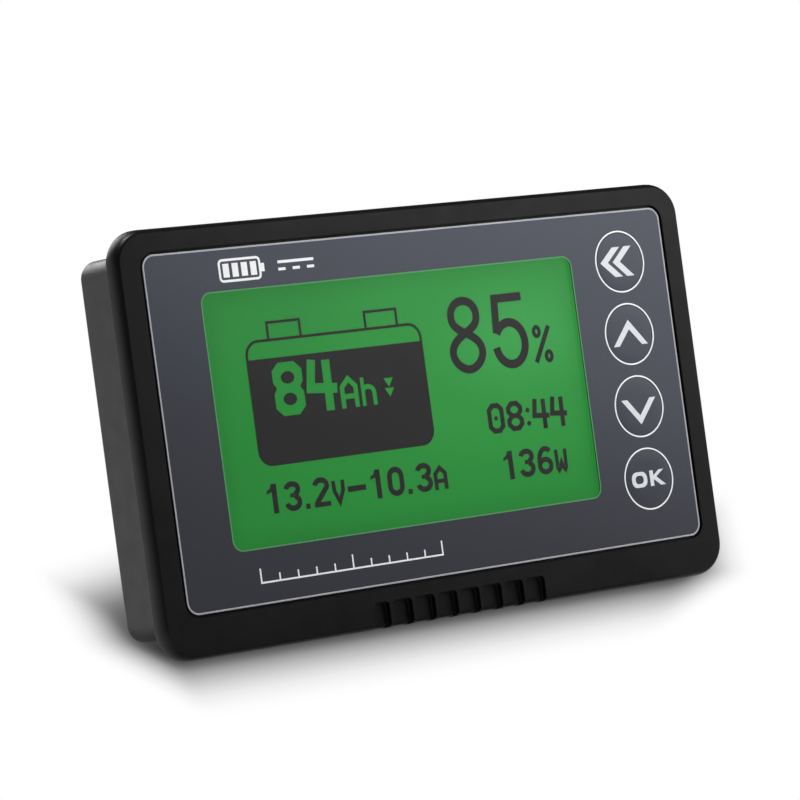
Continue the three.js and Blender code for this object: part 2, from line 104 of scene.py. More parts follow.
def axis(box):
    """The middle of an area as (x, z)."""
    return (box.x0 + box.x1) / 2, (box.z0 + box.z1) / 2


KEY_NAMES = ("ok", "down", "up", "back")
BEZEL = area("front_bezel")
PLATE = area("faceplate")
LENS = area("window_lens")
GLASS = area("lcd_glass")
HOUSING = area("rear_housing")
SOCKET = area("cable_socket")
LABEL = area("rating_label")
KEYS = {name: area("key_" + name) for name in KEY_NAMES}
REAR = HOUSING.back

# The bezel.
FLANGE = 2.6
BEZEL_CORNER = 4.8
BEZEL_EDGE = Sizes(inset=0.75, depth=1.9)
FLANGE_REAR_EDGE = 0.12
RECESS_GAP = 0.31
RECESS_EDGE = 0.06
FLOOR = Sizes(front=0.6, back=2.4)
SEAT_GAP = 0.15
OPENING = Sizes(gap=0.3, corner=0.4)
# How far the parts behind the floor are rooted in it.
ROOT = 0.4
LIP = Sizes(gap=0.3, thickness=1.0, corner=1.2, back=4.6)
BOSS = Sizes(radius=1.8, back=7.2, pilot=1.0, pilot_front=3.4, pilot_back=8.2)
STANDOFF = Sizes(radius=1.5, back=5.95, pilot=0.85, pilot_front=3.0, pilot_back=7)
HOOK = Sizes(x=20, half=2, foot=52.2, head=52.9, nose=51.4, nose_front=7.35, back=8, overlap=0.2)
POCKET = Sizes(count=8, pitch=3.92, x=-0.23, width=3.4, top=3.8, depth=0.95)
POCKET_ROUND = Sizes(row_start=-14.85, corner=0.6, floor=0.2, heel=0.7, rise=0.12)
POCKET_FOOT = -3

# The overlay, its window and the keys in it.
PLATE_CORNER = 1.9
WINDOW_CORNER = 1.65
LENS_GAP = 0.1
BORDER = Sizes(inset=0.06, width=0.25, height=0.05, root=0.02)
RIM = Sizes(width=0.18, height=0.02)
KEY = Sizes(cap=4.28, hole=4.34, collar=4.7, collar_front=2.5, back=3.1, edge=0.08)
KEY_DOME = Sizes(pole=0.3, height=0.01, shoulder=0.6, shoulder_height=0.006)
# The outer and inner radius of the ring printed round a key.
KEY_RING = (4.58, 4.36)
CHEVRONS = Sizes(rise=2.2, width=0.92, tips_and_reaches=((-3.65, 2.5), (-1.35, 2.4)))
MARKS = Sizes(left=3.6, above=1.35, battery=(6.6, 2.9), current=(9.6, 1.2, 6), scale=(31, 2.9))
# How far print stands out from a face, and a step that keeps two faces out of one plane.
INK = 0.02
SINK = 0.01
# Painted light that makes the plate's ink lighter towards the upper right: slopes per millimetre, the
# height of its middle tone, and its tones.
PAINTED_LIGHT = Sizes(x=0.0035, z=0.0115, middle=30)
PAINTED_LIGHT_TONES = [(0.09, 0.47), (0.25, 0.48), (0.4, 0.56), (0.5, 0.69), (0.62, 0.85), (0.93, 0.98)]
SEGMENT = Sizes(front=0.60, back=0.63)
GLOW = Sizes(x=0.83, z=0.7, reach=0.95, edge=3.5, albedo=0.07)
# The display's own picture starts at the window's lower left corner and sits this far right of it.
PICTURE_SHIFT = 0.4
# The battery on the display: its case, how full it is, and its terminals.
CASE = Sizes(x0=5.95, x1=35.85, z0=11.0, z1=28.45, line=0.4, corner=2.2)
CHARGE = Sizes(z0=14, z1=25.75)
TERMINAL = Sizes(places=(9.85, 26.3), x0=0.2, x1=5.6, z0=28.3, z1=30.65)

# The rear housing.
WALL = 1.6
HOUSING_CORNER = 2.6
HOUSING_EDGE = 0.8
HOUSING_SOFT = 0.1
COLUMN = Sizes(radius=2.4, front=7.3, root=0.5, bore=1.15, sink=2.1, sink_depth=1.5)
BORE_FRONT = 5
SOCKET_MOUTH = Sizes(gap=0.25, corner=0.3)
LABEL_RECESS = Sizes(depth=0.3, gap=0.3, corner=1.8)
LABEL_PRINT = Sizes(corner=1.5, inset=1.0, line=0.25, margin=3, row=0.1, rows=3)
VENT = Sizes(count=5, x=-28, z=15, pitch=2.4, length=9, width=1.1)
# Screws. Shank widths are shares of the shank's radius.
SCREW = Sizes(head=1.3, rim=0.08, side=0.55, crown=0.75, flat=0.35, thread_end=0.6)
THREAD = Sizes(start=0.7, pitch=0.45, crest=0.18, core=0.78)
CROSS = Sizes(arm=0.55, width=0.26, taper=0.6, foot=0.45)
# How far a cutter passes the face that it opens.
PAST = 1

# The floor leans with the object, which rests on its flange and its rear edge.
REST_TILT = math.radians(13.04)
CAMERA = Sizes(x=-309.89, y=-435.56, z=25.85, heading=35.38, pitch=0.6, roll=-7.64)
LENS_LENGTH = 168.3
SENSOR = 36
FLOOR_RADIUS = 520


# ---- Outlines ----


def arc(x, z, across, up, start, end, steps=None):
    """Points along an ellipse from one angle to another, in degrees."""
    steps = steps or max(3, round(abs(end - start) / 10))
    angles = [math.radians(start + (end - start) * i / steps) for i in range(steps + 1)]
    return [(x + across * math.cos(a), z + up * math.sin(a)) for a in angles]


def turns(start, end, step):
    """The cosine and sine of each angle in a range of degrees."""
    angles = [math.radians(angle) for angle in range(start, end, step)]
    return [(math.cos(angle), math.sin(angle)) for angle in angles]


def loop(x, z, across, up=None, steps=48):
    """A whole ellipse."""
    return arc(x, z, across, up or across, 0, 360, steps)[:-1]


def bezier(start, pull, push, end, steps=14):
    """Points along a cubic curve."""
    points = []
    for i in range(steps + 1):
        t = i / steps
        weights = ((1 - t) ** 3, 3 * t * (1 - t) ** 2, 3 * t * t * (1 - t), t**3)
        corners = (start, pull, push, end)
        points.append(tuple(sum(w * c[k] for w, c in zip(weights, corners)) for k in (0, 1)))
    return points


def rounded(x0, x1, z0, z1, radius, steps=10):
    """A rectangle with round corners, anticlockwise."""
    right, left = x1 - radius, x0 + radius
    bottom, top = z0 + radius, z1 - radius
    points = []
    for i, (x, z) in enumerate(((right, bottom), (right, top), (left, top), (left, bottom))):
        points += arc(x, z, radius, radius, 90 * i - 90, 90 * i, steps)
    return points


def around(box, grow, radius, steps=10):
    """The rounded rectangle that lies grow outside an area."""
    return rounded(box.x0 - grow, box.x1 + grow, box.z0 - grow, box.z1 + grow, radius, steps)


def rectangle(x0, x1, z0, z1):
    return [(x0, z0), (x1, z0), (x1, z1), (x0, z1)]


def solid(outline):
    return Shape(outline, [])


def block(x0, x1, z0, z1):
    return solid(rectangle(x0, x1, z0, z1))


def moved(shapes, x, z):
    shift = lambda outline: [(x + px, z + pz) for px, pz in outline]
    return [Shape(shift(shape.outer), [shift(hole) for hole in shape.holes]) for shape in shapes]


def tidy(path, closed):
    """The path without points that repeat their neighbour."""
    same = 1e-4
    kept = [path[0]]
    for point in path[1:]:
        if math.dist(point, kept[-1]) > same:
            kept.append(point)
    if closed and math.dist(kept[0], kept[-1]) <= same:
        kept.pop()
    return kept


def beside(path, distance, closed):
    """The path shifted to its left by a distance, with mitred corners."""
    sharpest = 0.3
    shifted = []
    count = len(path)
    for i, point in enumerate(path):
        ahead = Vector(path[(i + 1) % count]) - Vector(point)
        behind = Vector(point) - Vector(path[i - 1])
        if not closed:
            ahead = behind if i == count - 1 else ahead
            behind = ahead if i == 0 else behind
        ahead, behind = ahead.normalized(), behind.normalized()
        across = Vector((-ahead.y - behind.y, ahead.x + behind.x)).normalized()
        reach = distance / max(sharpest, across.dot(Vector((-ahead.y, ahead.x))))
        shifted.append((point[0] + across.x * reach, point[1] + across.y * reach))
    return shifted


def winding(path):
    """Twice the area inside a path, above zero when it runs anticlockwise."""
    return sum(a[0] * b[1] - b[0] * a[1] for a, b in zip(path, path[1:] + path[:1]))


def stroke(path, width, closed=False):
    """The shape that a pen of some width leaves along a path."""
    path = tidy(path, closed)
    left, right = beside(path, width / 2, closed), beside(path, -width / 2, closed)
    if not closed:
        return Shape(left + right[::-1], [])
    return Shape(right, [left]) if winding(path) > 0 else Shape(left, [right])


# ---- Meshes ----


def place(x, z, depth):
    """A vertex in the row frame, in metres."""
    return Vector((x, FACE_Y + depth, z)) * MM


def new_object(name, data):
    made = bpy.data.objects.new(name, data)
    bpy.context.scene.collection.objects.link(made)
    return made


def mesh_object(name, bm):
    mesh = bpy.data.meshes.new(name)
    bm.to_mesh(mesh)
    bm.free()
    return new_object(name, mesh)


def skin(name, rings, ringed=False):
    """A closed mesh over rings of equal length, capped at its ends or, ringed, joined back to its start."""
    bm = bmesh.new()
    rows = [[bm.verts.new(place(*point)) for point in ring] for ring in rings]
    pairs = list(zip(rows, rows[1:] + rows[:1] if ringed else rows[1:]))
    for near, far in pairs:
        for i, vertex in enumerate(near):
            j = (i + 1) % len(near)
            bm.faces.new((vertex, near[j], far[j], far[i]))
    if not ringed:
        bm.faces.new(rows[0])
        bm.faces.new(rows[-1])
    bmesh.ops.recalc_face_normals(bm, faces=bm.faces)
    return mesh_object(name, bm)


def at_depth(outline, depth):
    return [(x, z, depth) for x, z in outline]


def inset_ring(box, corner, inset, depth):
    """The rounded outline of an area, moved inwards."""
    return at_depth(around(box, -inset, corner - inset), depth)


def prism(name, outline, front, back):
    """An outline carried straight back."""
    return skin(name, [at_depth(outline, front), at_depth(outline, back)])


def turned(name, x, z, profile, steps=48):
    """A round piece along the depth axis from (radius, depth) pairs."""
    return skin(name, [at_depth(loop(x, z, radius, steps=steps), depth) for radius, depth in profile])


def cover(shapes, minus):
    """The points and faces that cover the union of some shapes, less that of others."""
    points, faces, owners = [], [], []
    for group, members in ((0, shapes), (1, minus)):
        for index, shape in enumerate(members):
            for hole, outline in enumerate([shape.outer] + shape.holes):
                outline = outline if winding(outline) > 0 else outline[::-1]
                faces.append(list(range(len(points), len(points) + len(outline))))
                owners.append((group, index, hole > 0))
                points += [Vector(point) for point in outline]
    faces_inside, nearest = 3, 1e-6
    points, _, made, _, _, sources = delaunay_2d_cdt(points, [], faces, faces_inside, nearest, True)

    def filled(source, group):
        inside = {owners[i][1] for i in source if owners[i][0] == group and not owners[i][2]}
        pierced = {owners[i][1] for i in source if owners[i][0] == group and owners[i][2]}
        return bool(inside - pierced)

    kept = [f for f, source in zip(made, sources) if filled(source, 0) and not filled(source, 1)]
    return points, kept


def sheet(name, shapes, front, back, minus=()):
    """A flat piece that covers shapes, less those in minus, between two depths."""
    points, faces = cover(shapes, minus)
    bm = bmesh.new()
    used = sorted({i for face in faces for i in face})
    fronts = {i: bm.verts.new(place(*points[i], front)) for i in used}
    backs = {i: bm.verts.new(place(*points[i], back)) for i in used}
    sides = {(a, b) for face in faces for a, b in zip(face, face[1:] + face[:1])}
    for face in faces:
        bm.faces.new([fronts[i] for i in face])
        bm.faces.new([backs[i] for i in reversed(face)])
    for a, b in sides:
        if (b, a) not in sides:
            bm.faces.new((fronts[b], fronts[a], backs[a], backs[b]))
    bmesh.ops.recalc_face_normals(bm, faces=bm.faces)
    return mesh_object(name, bm)


def settle(made):
    """Applies the modifiers of a piece to its mesh."""
    graph = bpy.context.evaluated_depsgraph_get()
    mesh = bpy.data.meshes.new_from_object(made.evaluated_get(graph))
    made.modifiers.clear()
    made.data = mesh
    return made


def combine(target, tools, operation):
    """Joins tools to the target or cuts them from it, and removes them."""
    for tool in tools:
        step = target.modifiers.new("step", "BOOLEAN")
        step.operation = operation
        step.solver = "EXACT"
        step.object = tool
    settle(target)
    for tool in tools:
        bpy.data.objects.remove(tool)


def soften(made, width, segments=2, limit=35):
    """Rounds the sharp edges of a piece."""
    edge = made.modifiers.new("edge", "BEVEL")
    edge.width = width * MM
    edge.segments = segments
    edge.limit_method = "ANGLE"
    edge.angle_limit = math.radians(limit)
    return settle(made)


def smooth(made, limit=32):
    """Shades curved faces smoothly and leaves flat ones flat."""
    made.data.shade_smooth()
    made.data.set_sharp_from_angle(angle=math.radians(limit))
    weights = made.modifiers.new("normals", "WEIGHTED_NORMAL")
    weights.keep_sharp = True
    return settle(made)


def finish_piece(made, slot, *nodes, body="housing", look=None):
    """Gives a piece its material, picked by its slot unless a look is given, its body and the CAD nodes
    that it stands for.
    """
    made.data.materials.clear()
    made.data.materials.append(LOOKS[look or slot])
    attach(made, body)
    if nodes:
        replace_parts(made, *nodes)


# ---- Materials ----


BLACK, WHITE = (0, 0, 0, 1), (1, 1, 1, 1)


def srgb(red, green, blue):
    """A linear colour from display values out of 255."""
    gamma = 2.2
    return tuple((c / 255) ** gamma for c in (red, green, blue)) + (1.0,)


def surface(name, roughness, **sockets):
    """A new material, its node tree and its Principled shader, with constants set on the shader."""
    made = bpy.data.materials.new(name)
    made.use_nodes = True
    shader = made.node_tree.nodes["Principled BSDF"]
    shader.inputs["Roughness"].default_value = roughness
    for socket, value in sockets.items():
        shader.inputs[socket.replace("_", " ")].default_value = value
    return made, made.node_tree, shader


def feed(socket, value):
    """Links a socket's value, or sets a constant."""
    if isinstance(value, bpy.types.NodeSocket):
        socket.id_data.links.new(value, socket)
    else:
        socket.default_value = value


def add(tree, kind, settings=None, **inputs):
    """A node with its settings, whose inputs are values or sockets to link."""
    made = tree.nodes.new("ShaderNode" + kind)
    for key, value in (settings or {}).items():
        setattr(made, key, value)
    for key, value in inputs.items():
        feed(made.inputs[key.replace("_", " ")], value)
    return made


def calculate(operation, *values):
    made = add(values[0].id_data, "Math", {"operation": operation})
    for socket, value in zip(made.inputs, values):
        feed(socket, value)
    return made.outputs["Value"]


def along(vector, direction):
    """How far a place lies along a direction."""
    made = add(vector.id_data, "VectorMath", {"operation": "DOT_PRODUCT"})
    feed(made.inputs[0], vector)
    feed(made.inputs[1], direction)
    return made.outputs["Value"]


def millimetres(tree, stretch=(1, 1, 1), offset=(0, 0, 0)):
    """The place on the object in millimetres, stretched along each axis."""
    place_on = add(tree, "TexCoord").outputs["Object"]
    scale = tuple(s / MM for s in stretch)
    return add(tree, "Mapping", Vector=place_on, Scale=scale, Location=offset).outputs["Vector"]


def noise(vector, scale, detail=3.0, roughness=0.55):
    made = add(vector.id_data, "TexNoise", Vector=vector, Scale=scale, Detail=detail, Roughness=roughness)
    return made.outputs["Fac"]


def ramp(factor, stops, interpolation="LINEAR"):
    """Colours or greys by a factor, from (position, colour) pairs."""
    made = add(factor.id_data, "ValToRGB", Fac=factor)
    band = made.color_ramp
    band.interpolation = interpolation
    while len(band.elements) < len(stops):
        band.elements.new(0.5)
    for element, (position, colour) in zip(band.elements, stops):
        element.position = position
        element.color = colour if isinstance(colour, tuple) else (colour, colour, colour, 1)
    return made.outputs["Color"]


def blend_colours(factor, first, second, mode="MIX"):
    made = add(first.id_data, "Mix", {"data_type": "RGBA", "blend_type": mode})
    for index, value in ((0, factor), (6, first), (7, second)):
        feed(made.inputs[index], value)
    return made.outputs[2]


def paint(shader, colour, socket="Base Color"):
    feed(shader.inputs[socket], colour)


def relief(shader, height, depth):
    """Bump from a height between 0 and 1, as deep as depth millimetres."""
    made = add(height.id_data, "Bump", Height=height, Distance=depth * MM, Strength=1.0)
    feed(shader.inputs["Normal"], made.outputs["Normal"])


def moulding(name, dark, light, roughness, grain=4.5, depth=0.006, specular=0.5):
    """Moulded plastic: a fine spark-eroded grain, faint flow marks and uneven gloss."""
    made, tree, shader = surface(name, roughness, Specular_IOR_Level=specular)
    vector = millimetres(tree)
    broad = noise(vector, 0.07)
    fine = noise(vector, grain, 2.0, 0.7)
    shade = calculate("MULTIPLY_ADD", fine, 0.45, broad)
    paint(shader, ramp(shade, [(0.45, dark), (1.0, light)]))
    gloss = ramp(noise(vector, 0.35), [(0.3, roughness - 0.05), (0.7, roughness + 0.05)])
    paint(shader, gloss, "Roughness")
    relief(shader, fine, depth)
    return made


def printed(name, dark, light, roughness, weave=9.0, depth=0.0015):
    """Ink or film: a dense even coat with the finest mottle and a faint screen texture."""
    made, tree, shader = surface(name, roughness, Specular_IOR_Level=0.29)
    vector = millimetres(tree)
    mottle = noise(vector, weave, 2.0, 0.5)
    paint(shader, ramp(mottle, [(0.3, dark), (0.7, light)]))
    relief(shader, mottle, depth)
    return made


def print_with_painted_light(name, dark, light, roughness):
    """An even coat of ink with painted light on it, which makes it lighter towards the upper right."""
    made = printed(name, dark, light, roughness)
    tree = made.node_tree
    shader = tree.nodes["Principled BSDF"]
    slope = along(millimetres(tree), (PAINTED_LIGHT.x, 0, PAINTED_LIGHT.z))
    level = calculate("ADD", slope, 0.5 - PAINTED_LIGHT.middle * PAINTED_LIGHT.z)
    tone = ramp(level, PAINTED_LIGHT_TONES)
    ink = shader.inputs["Base Color"].links[0].from_socket
    paint(shader, blend_colours(1.0, ink, tone, "MULTIPLY"))
    return made


def metal(name, dark, light, roughness, stretch=(1, 1, 1)):
    """Plated or brushed metal. Stretch draws the brushing out along an axis."""
    made, tree, shader = surface(name, roughness, Metallic=1.0)
    marks = noise(millimetres(tree, stretch), 2.0, 4.0, 0.6)
    paint(shader, ramp(marks, [(0.25, dark), (0.75, light)]))
    gloss = ramp(marks, [(0.3, roughness - 0.08), (0.7, roughness + 0.1)])
    paint(shader, gloss, "Roughness")
    relief(shader, marks, 0.004)
    return made


def nearest_side(tree, sides, blend):
    """The least of constant + place . slope over some sides, in millimetres, with soft turns."""
    vector = millimetres(tree)
    nearest = None
    for constant, slope in sides:
        value = calculate("ADD", along(vector, slope), constant)
        nearest = calculate("SMOOTH_MIN", nearest, value, blend) if nearest else value
    return nearest


def lit_panel():
    """The liquid crystal's ground, lit from behind: brightest right of the middle, with painted shade that
    dims it at its edges.
    """
    made, tree, shader = surface("lcd_panel", 0.35, Emission_Strength=1.0, Specular_IOR_Level=0.15)
    width, height = LENS.x1 - LENS.x0, LENS.z1 - LENS.z0
    lamp_x, lamp_z = LENS.x0 + GLOW.x * width, LENS.z0 + GLOW.z * height
    reach_x, reach_z = GLOW.reach * width, GLOW.reach * height
    stretch = (1 / reach_x, 0, 1 / reach_z)
    vector = millimetres(tree, stretch, (-lamp_x / reach_x, 0, -lamp_z / reach_z))
    glow = add(tree, "TexGradient", {"gradient_type": "SPHERICAL"}, Vector=vector).outputs["Fac"]
    tones = ((0.0, 43, 127, 56), (0.3, 45, 133, 59), (0.65, 51, 143, 65), (1.0, 63, 156, 79))
    light = ramp(glow, [(position, srgb(*tone)) for position, *tone in tones], "EASE")
    grain = ramp(noise(millimetres(tree), 7.0, 2.0), [(0.3, 0.97), (0.7, 1.0)])
    light = blend_colours(1.0, light, grain, "MULTIPLY")
    # Painted shade: the ground is darkened near the window's sides, where the recess shades it.
    sides = [(-LENS.x0, (1, 0, 0)), (LENS.x1, (-1, 0, 0)), (-LENS.z0, (0, 0, 1)), (LENS.z1, (0, 0, -1))]
    inside = nearest_side(tree, sides, GLOW.edge)
    depth = add(tree, "MapRange", Value=inside, From_Max=GLOW.edge).outputs["Result"]
    shade = ramp(depth, [(0.0, 0.89), (1.0, 1.0)], "EASE")
    light = blend_colours(1.0, light, shade, "MULTIPLY")
    paint(shader, light, "Emission Color")
    paint(shader, blend_colours(1 - GLOW.albedo, light, BLACK))
    return made


def clear_sheet():
    """The window: it lets everything through but a soft mirror of the room, with the finest haze."""
    made, tree, shader = surface("window_clear", 0.12, IOR=1.45, Alpha=0.03)
    haze = noise(millimetres(tree), 0.5, 2.0)
    paint(shader, ramp(haze, [(0.3, srgb(20, 28, 22)), (0.7, srgb(25, 35, 27))]))
    return made


def circuit_board():
    """Solder mask over copper tracks."""
    made, tree, shader = surface("board_laminate", 0.35)
    vector = millimetres(tree)
    runs = add(tree, "TexBrick", Vector=vector, Scale=0.35, Mortar_Size=0.04, Mortar_Smooth=0.4)
    mask = noise(vector, 0.2)
    base = ramp(mask, [(0.3, srgb(22, 74, 46)), (0.7, srgb(28, 88, 54))])
    tracks = runs.outputs["Fac"]
    paint(shader, blend_colours(tracks, base, srgb(46, 118, 72)))
    relief(shader, tracks, 0.03)
    return made


# How each look is made, its name, its dark and light display colours and its roughness. Some have more: the
# grain's scale per millimetre, its depth in millimetres and the specular level, or how brushing stretches.
COATS = (
    (moulding, "bezel_plastic", (21, 21, 21), (27, 27, 27), 0.38, 5.0, 0.004, 0.17),
    (moulding, "housing_plastic", (24, 24, 24), (30, 30, 30), 0.4, 4.5, 0.006, 0.36),
    # The faceplate's and keys' ink carries painted light, lighter towards the upper right.
    (print_with_painted_light, "faceplate_print", (73, 76, 86), (78, 81, 92), 0.42),
    (print_with_painted_light, "key_print", (73, 76, 86), (78, 81, 92), 0.4),
    (printed, "print_white", (249, 250, 253), (253, 254, 255), 0.5, 6.0),
    (printed, "mark_print", (221, 223, 227), (229, 231, 235), 0.5, 6.0),
    (printed, "border_print", (167, 168, 173), (184, 185, 190), 0.35, 6.0),
    # The window rim's green is painted glow: the display's light on the window's cut edge.
    (printed, "window_rim", (84, 144, 96), (94, 152, 106), 0.4),
    (printed, "lcd_segment", (38, 36, 37), (42, 40, 41), 0.45, 5.0),
    (moulding, "light_guide", (205, 235, 210), (222, 245, 225), 0.3),
    (moulding, "white_plastic", (214, 214, 208), (230, 230, 225), 0.45),
    (moulding, "strip_rubber", (34, 36, 40), (46, 48, 52), 0.8, 2.0, 0.02),
    (moulding, "chip_epoxy", (26, 27, 28), (34, 35, 37), 0.6, 3.0, 0.012),
    (moulding, "socket_nylon", (222, 214, 190), (234, 227, 206), 0.42),
    (metal, "can_metal", (168, 170, 172), (205, 207, 208), 0.3),
    (moulding, "ferrite", (52, 54, 56), (66, 68, 70), 0.7, 2.0, 0.02),
    (metal, "pin_brass", (196, 158, 84), (226, 192, 118), 0.28, (6, 1, 6)),
    (metal, "screw_steel", (120, 122, 124), (162, 164, 166), 0.32),
    (printed, "label_film", (150, 151, 152), (160, 161, 162), 0.38, 3.0),
    (printed, "label_ink", (40, 40, 42), (52, 52, 54), 0.5, 6.0),
)


def make_materials():
    looks = {"window_clear": clear_sheet(), "lcd_panel": lit_panel(), "board_laminate": circuit_board()}
    for make, name, dark, light, roughness, *more in COATS:
        looks[name] = make(name, srgb(*dark), srgb(*light), roughness, *more)
    return looks


LOOKS = make_materials()


# ---- Bezel ----


def bezel_rings():
    """The bezel's section, from the outer rear edge over the front and the recess to the seat behind."""
    rings = []
    flange = BEZEL._replace(back=FLANGE)
    rear = FLANGE - FLANGE_REAR_EDGE
    for across, up in turns(90, -1, -30):
        inset = FLANGE_REAR_EDGE * (1 - across)
        rings.append(inset_ring(flange, BEZEL_CORNER, inset, rear + FLANGE_REAR_EDGE * up))
    for across, up in turns(0, 91, 9):
        inset = BEZEL_EDGE.inset * (1 - across)
        rings.append(inset_ring(flange, BEZEL_CORNER, inset, BEZEL_EDGE.depth * (1 - up)))
    lip, recess = (around(PLATE, gap, PLATE_CORNER + gap) for gap in (RECESS_GAP + RECESS_EDGE, RECESS_GAP))
    opening = around(GLASS, OPENING.gap, OPENING.corner)
    seat = around(HOUSING, SEAT_GAP, HOUSING_CORNER + SEAT_GAP)
    rings += [at_depth(lip, 0), at_depth(recess, RECESS_EDGE), at_depth(recess, FLOOR.front)]
    rings += [at_depth(opening, FLOOR.front), at_depth(opening, FLOOR.back)]
    return rings + [at_depth(seat, FLOOR.back), at_depth(seat, FLANGE)]


def pocket_cutters():
    """One cutter for each grip pocket, with a round floor edge, and one that rounds its lower end."""
    cutters = []
    for i in range(POCKET.count):
        middle = POCKET.x + (i - (POCKET.count - 1) / 2) * POCKET.pitch
        left = max(middle - POCKET.width / 2, POCKET_ROUND.row_start)
        right = middle + POCKET.width / 2
        radius = POCKET_ROUND.floor
        levels = [(0, -PAST)]
        for across, up in turns(0, 91, 18):
            levels.append((radius * (1 - across), POCKET.depth - radius * (1 - up)))
        rings = []
        for inset, depth in levels:
            sides = (left + inset, right - inset, POCKET_FOOT, POCKET.top - inset)
            rings.append(at_depth(rounded(*sides, POCKET_ROUND.corner - inset, 6), depth))
        cutters.append(skin("pocket", rings))
        cutters.append(heel_cutter(left + radius, right - radius))
    return cutters


def heel_cutter(left, right):
    """What is cut away so that a pocket's floor rolls under to the bottom edge."""
    radius, rise = POCKET_ROUND.heel, POCKET_ROUND.rise
    top, floor = rise + radius, POCKET.depth
    front, low, back = floor - POCKET_ROUND.floor, -PAST, FLANGE + PAST
    profile = [(top, front)] + arc(top, floor + radius, radius, radius, 270, 180, 8)
    profile += [(rise, back), (low, back), (low, front)]
    return skin("heel", [[(x, z, depth) for z, depth in profile] for x in (left, right)])


def screw_places(prefix, count):
    """The axes of the screws, from their CAD nodes."""
    return [axis(area(prefix + str(i + 1))) for i in range(count)]


CASE_SCREWS = screw_places("case_screw_", 4)
BOARD_SCREWS = screw_places("board_screw_", 2)


def make_bezel():
    bezel = skin("bezel_shell", bezel_rings(), ringed=True)
    root = FLOOR.back - ROOT
    inset = -(WALL + LIP.gap)
    outer = around(HOUSING, inset, LIP.corner, 6)
    inner = around(HOUSING, inset - LIP.thickness, LIP.corner / 2, 6)
    lip = [at_depth(outer, root), at_depth(outer, LIP.back)]
    lip += [at_depth(inner, LIP.back), at_depth(inner, root)]
    parts = [skin("lip", lip, ringed=True)]
    posts = ((CASE_SCREWS, BOSS), (BOARD_SCREWS, STANDOFF))
    for screws, post in posts:
        profile = [(post.radius, root), (post.radius, post.back)]
        parts += [turned("post", x, z, profile) for x, z in screws]
    for side in (-1, 1):
        x0, x1 = side * HOOK.x - HOOK.half, side * HOOK.x + HOOK.half
        stem = rectangle(x0, x1, HOOK.foot, HOOK.head)
        nose = rectangle(x0 + SINK, x1 - SINK, HOOK.nose, HOOK.foot + HOOK.overlap)
        parts.append(prism("stem", stem, root, HOOK.back))
        parts.append(prism("nose", nose, HOOK.nose_front, HOOK.back - SINK))
    combine(bezel, parts, "UNION")
    cuts = pocket_cutters()
    for name in KEY_NAMES:
        profile = [(KEY.hole, -PAST), (KEY.hole, FLANGE + PAST)]
        cuts.append(turned("hole", *axis(KEYS[name]), profile, 72))
    for screws, post in posts:
        profile = [(post.pilot, post.pilot_front), (post.pilot, post.pilot_back)]
        cuts += [turned("pilot", x, z, profile, 24) for x, z in screws]
    combine(bezel, cuts, "DIFFERENCE")
    finish_piece(smooth(bezel), "bezel_plastic", "front_bezel")


# ---- Overlay, window and keys ----


def make_overlay():
    outline = around(PLATE, -BORDER.inset, PLATE_CORNER - BORDER.inset)
    window = around(LENS, LENS_GAP, WINDOW_CORNER)
    holes = [solid(window)] + [solid(loop(*axis(KEYS[n]), KEY.hole, steps=72)) for n in KEY_NAMES]
    film = sheet("overlay_film", [solid(outline)], PLATE.front, PLATE.back, holes)
    finish_piece(smooth(film), "faceplate_print", "faceplate")

    bead = []
    for across, up in turns(0, 181, 30):
        inset = BORDER.inset + BORDER.width / 2 * (1 - across)
        bead.append(inset_ring(PLATE, PLATE_CORNER, inset, PLATE.front - BORDER.height * up))
    roots = [[(x, z, PLATE.front + BORDER.root) for x, z, _ in side] for side in (bead[-1], bead[0])]
    border = smooth(skin("overlay_border", bead + roots, ringed=True))
    finish_piece(border, "print_white", look="border_print")

    # A thin green ring round the window that paints the display's glow on the window's cut edge.
    rim_inner = around(LENS, LENS_GAP - RIM.width, WINDOW_CORNER - RIM.width)
    rim = sheet("window_rim", [Shape(window, [rim_inner])], PLATE.front - RIM.height, PLATE.front)
    finish_piece(rim, "print_white", look="window_rim")

    pane_outline = around(LENS, 0, WINDOW_CORNER - LENS_GAP)
    pane = sheet("window_pane", [solid(pane_outline)], LENS.front + SINK / 2, LENS.back)
    finish_piece(pane, "window_clear", "window_lens")

    rings = []
    for name in KEY_NAMES:
        outer, inner = (loop(*axis(KEYS[name]), radius, steps=72) for radius in KEY_RING)
        rings.append(Shape(outer, [inner]))
    printed_rings = sheet("key_rings", rings, PLATE.front - INK, PLATE.front + INK)
    finish_piece(smooth(printed_rings), "print_white")


def chevron(x, z, reach):
    """A bent bar with its tip at a place. Its arms end on level lines, rise above and below the tip."""
    rise = CHEVRONS.rise
    slope = math.hypot(reach, rise) / rise * CHEVRONS.width
    outline = [(x, z), (x + reach, z + rise), (x + reach + slope, z + rise), (x + slope, z)]
    return solid(outline + [(x + reach + slope, z - rise), (x + reach, z - rise)])


def back_mark(x, z):
    return [chevron(x + tip, z, reach) for tip, reach in CHEVRONS.tips_and_reaches]


def arrow_mark(x, z, tip, hollow, foot):
    """A bent bar whose arms end on a level line. Its heights are above the middle of the key."""
    outer, inner = 3.22, 2.12
    left = [(x - outer, z + foot), (x - inner, z + foot)]
    right = [(x + inner, z + foot), (x + outer, z + foot)]
    return [solid([(x, z + tip)] + left + [(x, z + hollow)] + right)]


def ok_mark(x, z):
    """A wide O and a K."""
    foot, top = z - 1.15, z + 1.15
    ring = rounded(x - 3.2, x - 0.35, foot, top, 0.95)
    hole = rounded(x - 2.52, x - 1.03, z - 0.6, z + 0.6, 0.5)
    stem = block(x + 0.2, x + 0.88, foot, top)
    low_arm = [(x + 0.85, z - 0.15), (x + 2.15, foot), (x + 3.05, foot), (x + 1.3, z + 0.28)]
    high_arm = [(x + 0.85, z - 0.2), (x + 2.9, top), (x + 2.0, top), (x + 0.85, z + 0.35)]
    return [Shape(ring, [hole]), stem, solid(low_arm), solid(high_arm)]


